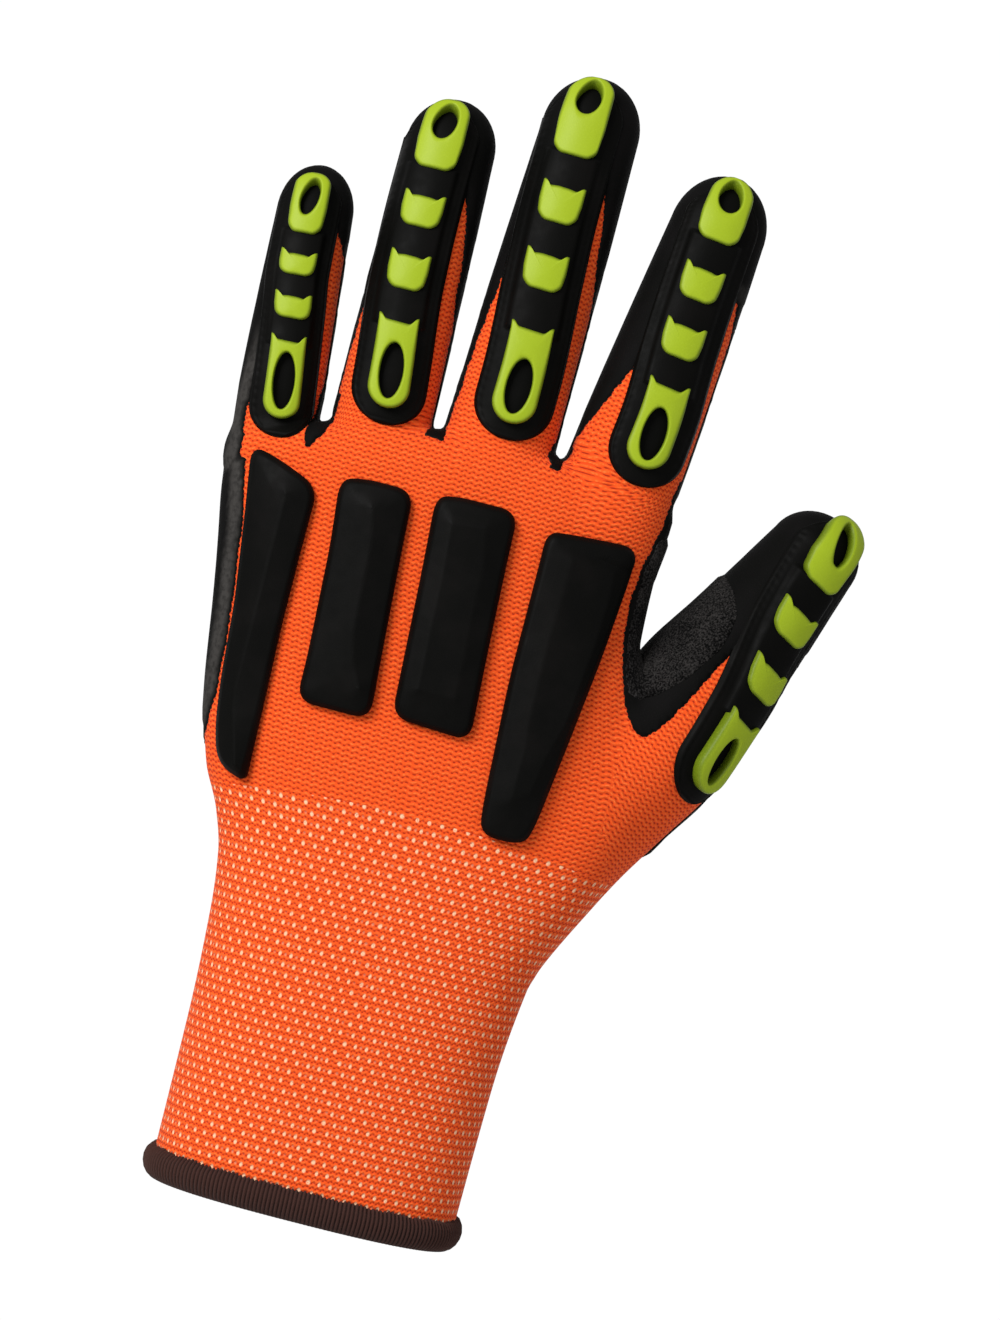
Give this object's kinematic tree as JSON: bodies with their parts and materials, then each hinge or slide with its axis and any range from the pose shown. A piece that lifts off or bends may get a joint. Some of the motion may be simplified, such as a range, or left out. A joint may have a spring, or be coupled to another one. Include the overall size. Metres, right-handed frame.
{
  "type": "impact glove",
  "caption": "Left-hand knitted work glove with a dipped palm and rubber impact guards on the knuckles, fingers and thumb.",
  "frame": {"origin": "centre of the cuff's mouth, in the plane of the hem's lower edge, where the wrist leaves the glove", "axes": "+Z from the cuff to the fingertips, +X to the thumb, -Y out of the back of the hand"},
  "size_m": [0.1413, 0.0468, 0.2531],
  "materials": {
    "knit": "knitted yarn, matt",
    "nitrile": "sandy nitrile dip, matt",
    "patch": "rough grip coating",
    "hem_yarn": "overlocked yarn",
    "black_rubber": "moulded, satin",
    "lime_rubber": "moulded, semi-gloss"
  },
  "bodies": {
    "root": {"knit_liner": "knit", "knit_liner_little": "knit", "knit_liner_ring": "knit", "knit_liner_middle": "knit", "knit_liner_index": "knit", "knit_liner_thumb": "knit", "nitrile_coat": "nitrile", "crotch_patch": "patch", "cuff_hem": "hem_yarn", "knuckle_bar_little": "black_rubber", "knuckle_bar_ring": "black_rubber", "knuckle_bar_middle": "black_rubber", "knuckle_bar_index": "black_rubber", "guard_little": "black_rubber", "guard_little_pad_base": "lime_rubber", "guard_little_pad_lower": "lime_rubber", "guard_little_pad_upper": "lime_rubber", "guard_little_pad_tip": "lime_rubber", "guard_ring": "black_rubber", "guard_ring_pad_base": "lime_rubber", "guard_ring_pad_lower": "lime_rubber", "guard_ring_pad_upper": "lime_rubber", "guard_ring_pad_tip": "lime_rubber", "guard_middle": "black_rubber", "guard_middle_pad_base": "lime_rubber", "guard_middle_pad_lower": "lime_rubber", "guard_middle_pad_upper": "lime_rubber", "guard_middle_pad_tip": "lime_rubber", "guard_index": "black_rubber", "guard_index_pad_base": "lime_rubber", "guard_index_pad_lower": "lime_rubber", "guard_index_pad_upper": "lime_rubber", "guard_index_pad_tip": "lime_rubber", "guard_thumb": "black_rubber", "guard_thumb_pad_base": "lime_rubber", "guard_thumb_pad_lower": "lime_rubber", "guard_thumb_pad_upper": "lime_rubber", "guard_thumb_pad_tip": "lime_rubber"}
  },
  "joints": []
}
